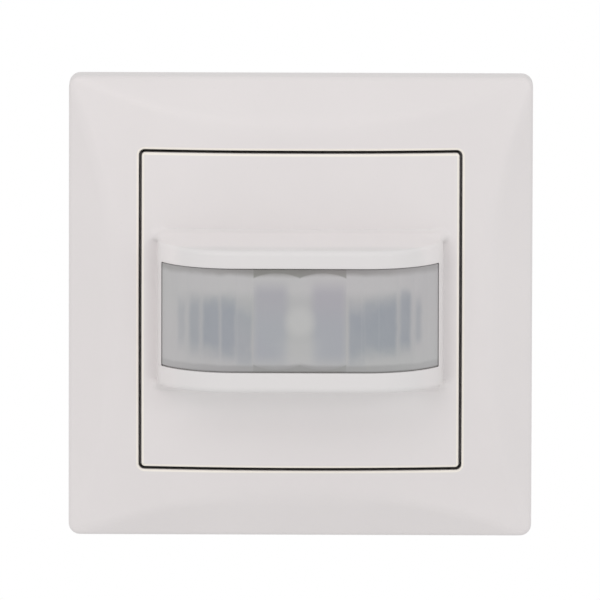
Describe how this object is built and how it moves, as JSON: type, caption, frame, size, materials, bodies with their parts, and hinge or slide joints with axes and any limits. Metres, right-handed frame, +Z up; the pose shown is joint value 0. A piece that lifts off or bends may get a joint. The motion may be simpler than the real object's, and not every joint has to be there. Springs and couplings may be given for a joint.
{
  "type": "motion sensor light switch",
  "caption": "Flush wall light switch with a passive infrared motion sensor head, square cover frame, plug-in sensor cover and a box insert.",
  "frame": {"origin": "centre of the mounting ring's rear face, which lies on the wall plane", "axes": "+X to the right as seen from the room, +Y into the wall, +Z up; the sensor faces -Y"},
  "size_m": [0.081, 0.049, 0.081],
  "materials": {
    "frame_plastic": "satin white moulding",
    "cover_plastic": "satin white moulding",
    "lens_film": "milky translucent lens film",
    "retainer_plastic": "white inner moulding",
    "chassis_plastic": "black moulding, fine spark texture",
    "housing_plastic": "light grey moulding, fine spark texture",
    "lid_plastic": "light grey moulding, fine spark texture",
    "ring_steel": "zinc-plated sheet steel",
    "claw_steel": "yellow passivated sheet steel",
    "screw_steel": "zinc-plated steel",
    "rivet_steel": "zinc-plated steel",
    "cage_brass": "nickel-free brass",
    "bar_copper": "tinned copper",
    "board_green": "solder-masked glass board",
    "relay_plastic": "dark blue moulded relay case",
    "film_plastic": "yellow potted film case",
    "can_sleeve": "black shrink sleeve",
    "varistor_coat": "blue epoxy coat",
    "fuse_glass": "glass tube with plated caps",
    "socket_plastic": "black moulded socket",
    "pin_metal": "gold-flashed pins",
    "can_metal": "nickel-plated can",
    "pyro_filter": "dark infrared filter",
    "guide_clear": "clear moulded light guide",
    "led_body": "tinted diode body",
    "chip_plastic": "black moulded package",
    "coil_ferrite": "dark ferrite",
    "trimmer_plastic": "dark trimmer body",
    "knob_plastic": "orange trimmer rotor"
  },
  "bodies": {
    "insert": {"mounting_ring": "ring_steel", "ring_rivets": "rivet_steel", "insert_housing": "housing_plastic", "insert_lid": "lid_plastic", "power_board": "board_green", "relay": "relay_plastic", "film_capacitor": "film_plastic", "electrolytic_capacitor": "can_sleeve", "varistor": "varistor_coat", "fuse": "fuse_glass", "contact_bars": "bar_copper", "header_socket": "socket_plastic"},
    "frame": {"cover_frame": "frame_plastic"},
    "sensor_head": {"sensor_cover": "cover_plastic", "fresnel_lens": "lens_film", "lens_retainer": "retainer_plastic", "sensor_chassis": "chassis_plastic", "sensor_board": "board_green", "light_guide": "guide_clear", "light_sensor": "pyro_filter", "status_led": "led_body", "controller_chip": "chip_plastic", "choke": "coil_ferrite", "header_strip": "socket_plastic", "header_pins": "pin_metal", "time_trimmer_body": "trimmer_plastic", "light_trimmer_body": "trimmer_plastic", "pyro_holder_left": "retainer_plastic", "pyro_can_left": "can_metal", "pyro_window_left": "pyro_filter", "pyro_holder_right": "retainer_plastic", "pyro_can_right": "can_metal", "pyro_window_right": "pyro_filter"},
    "time_trimmer": {"time_trimmer_knob": "knob_plastic"},
    "light_trimmer": {"light_trimmer_knob": "knob_plastic"},
    "claw_left": {"claw_left": "claw_steel"},
    "claw_screw_left": {"claw_screw_left": "screw_steel"},
    "claw_right": {"claw_right": "claw_steel"},
    "claw_screw_right": {"claw_screw_right": "screw_steel"},
    "terminal_screw_1": {"terminal_screw_1": "screw_steel"},
    "terminal_cage_1": {"terminal_cage_1": "cage_brass"},
    "terminal_screw_2": {"terminal_screw_2": "screw_steel"},
    "terminal_cage_2": {"terminal_cage_2": "cage_brass"},
    "terminal_screw_3": {"terminal_screw_3": "screw_steel"},
    "terminal_cage_3": {"terminal_cage_3": "cage_brass"}
  },
  "joints": [
    {"name": "frame_pull", "type": "slide", "parent": "insert", "child": "frame", "axis": [0, -1, 0], "range_m": [0, 0.025]},
    {"name": "head_pull", "type": "slide", "parent": "frame", "child": "sensor_head", "axis": [0, -1, 0], "range_m": [0, 0.025]},
    {"name": "time_trimmer_turn", "type": "hinge", "parent": "sensor_head", "child": "time_trimmer", "pos_m": [-0.012, -0.0046, -0.008], "axis": [0, 1, 0], "range_deg": [-135, 135]},
    {"name": "light_trimmer_turn", "type": "hinge", "parent": "sensor_head", "child": "light_trimmer", "pos_m": [0.012, -0.0046, -0.008], "axis": [0, 1, 0], "range_deg": [-135, 135]},
    {"name": "claw_screw_left_turn", "type": "hinge", "parent": "insert", "child": "claw_screw_left", "pos_m": [-0.0206, 0, -0.011], "axis": [0, 1, 0], "range_deg": [0, 3600]},
    {"name": "claw_left_spread", "type": "hinge", "parent": "insert", "child": "claw_left", "pos_m": [-0.0206, 0.0185, -0.011], "axis": [0, 0, -1], "range_deg": [0, 16]},
    {"name": "claw_screw_right_turn", "type": "hinge", "parent": "insert", "child": "claw_screw_right", "pos_m": [0.0206, 0, 0.011], "axis": [0, 1, 0], "range_deg": [0, 3600]},
    {"name": "claw_right_spread", "type": "hinge", "parent": "insert", "child": "claw_right", "pos_m": [0.0206, 0.0185, 0.011], "axis": [0, 0, 1], "range_deg": [0, 16]},
    {"name": "terminal_screw_1_turn", "type": "hinge", "parent": "insert", "child": "terminal_screw_1", "pos_m": [-0.009, 0.0164, -0.0217], "axis": [0, 0, 1], "range_deg": [0, 1440]},
    {"name": "terminal_cage_1_clamp", "type": "slide", "parent": "insert", "child": "terminal_cage_1", "axis": [0, 0, -1], "range_m": [0, 0.002]},
    {"name": "terminal_screw_2_turn", "type": "hinge", "parent": "insert", "child": "terminal_screw_2", "pos_m": [0, 0.0164, -0.0217], "axis": [0, 0, 1], "range_deg": [0, 1440]},
    {"name": "terminal_cage_2_clamp", "type": "slide", "parent": "insert", "child": "terminal_cage_2", "axis": [0, 0, -1], "range_m": [0, 0.002]},
    {"name": "terminal_screw_3_turn", "type": "hinge", "parent": "insert", "child": "terminal_screw_3", "pos_m": [0.009, 0.0164, -0.0217], "axis": [0, 0, 1], "range_deg": [0, 1440]},
    {"name": "terminal_cage_3_clamp", "type": "slide", "parent": "insert", "child": "terminal_cage_3", "axis": [0, 0, -1], "range_m": [0, 0.002]}
  ],
  "couplings": [
    {"joint": "claw_left_spread", "follows": "claw_screw_left_turn", "ratio": 0.0044444},
    {"joint": "claw_right_spread", "follows": "claw_screw_right_turn", "ratio": 0.0044444},
    {"joint": "terminal_screw_1_turn", "follows": "terminal_cage_1_clamp", "rad_per_m": 12566},
    {"joint": "terminal_screw_2_turn", "follows": "terminal_cage_2_clamp", "rad_per_m": 12566},
    {"joint": "terminal_screw_3_turn", "follows": "terminal_cage_3_clamp", "rad_per_m": 12566}
  ]
}
